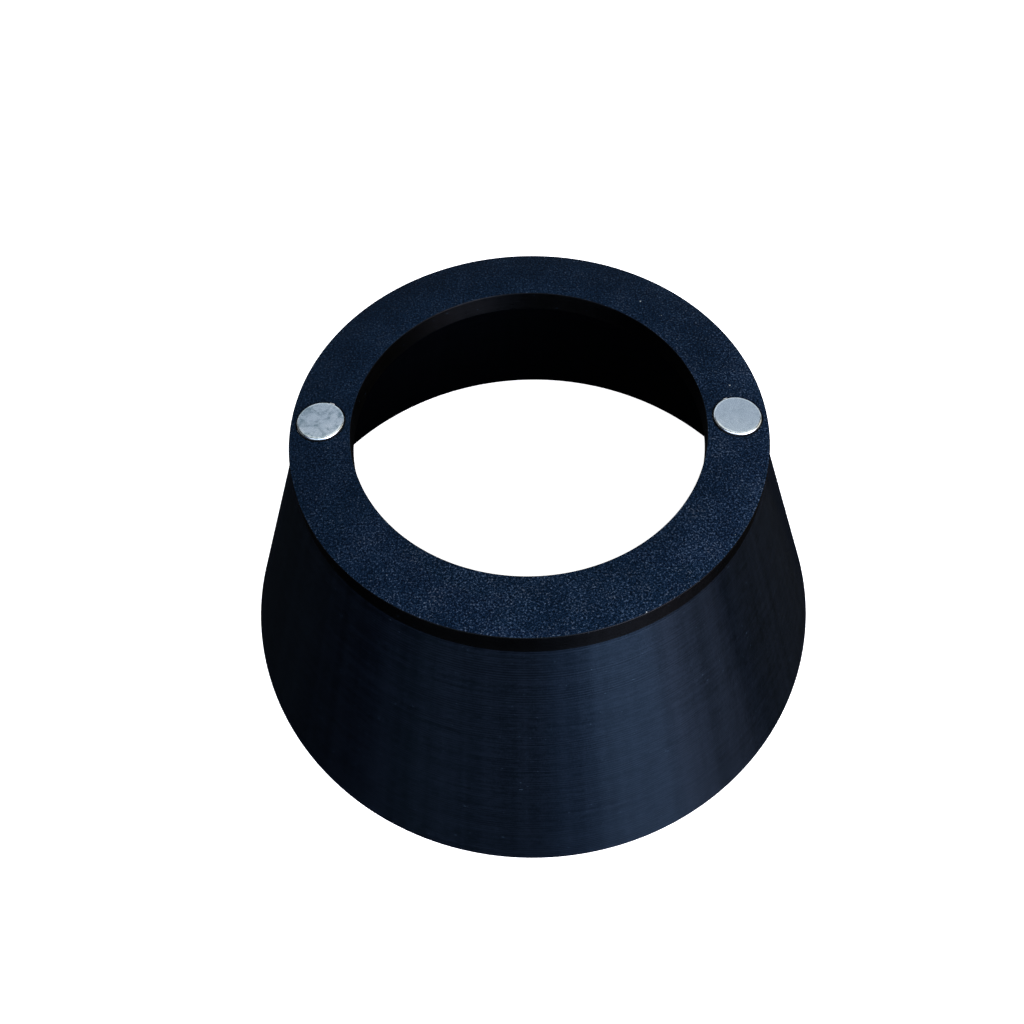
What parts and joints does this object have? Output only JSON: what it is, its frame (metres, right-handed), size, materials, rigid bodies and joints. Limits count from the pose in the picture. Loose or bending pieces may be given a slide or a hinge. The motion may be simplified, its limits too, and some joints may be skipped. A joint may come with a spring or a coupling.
{
  "type": "snoot",
  "caption": "Flared light-shaping tube, open at both ends, with a flat bored ring at the narrow end that holds disc magnets for quick fixing.",
  "frame": {"origin": "centre of the wide mouth's rim, which the shell stands on", "axes": "+Z along the light's axis from the wide mouth to the flat ring; the magnets lie on the X axis"},
  "size_m": [0.14, 0.14, 0.0661],
  "materials": {
    "printed_plastic": "black filament with a faint blue cast, printed in fine layers; the ring's face carries the grain of a textured print bed",
    "nickel_plate": "satin nickel plating with rounded edges, light scuffs and a few stains",
    "cured_adhesive": "clear set glue"
  },
  "bodies": {
    "root": {"snoot_shell": "printed_plastic", "magnet_left": "nickel_plate", "magnet_right": "nickel_plate", "magnet_adhesive_left": "cured_adhesive", "magnet_adhesive_right": "cured_adhesive"}
  },
  "joints": []
}
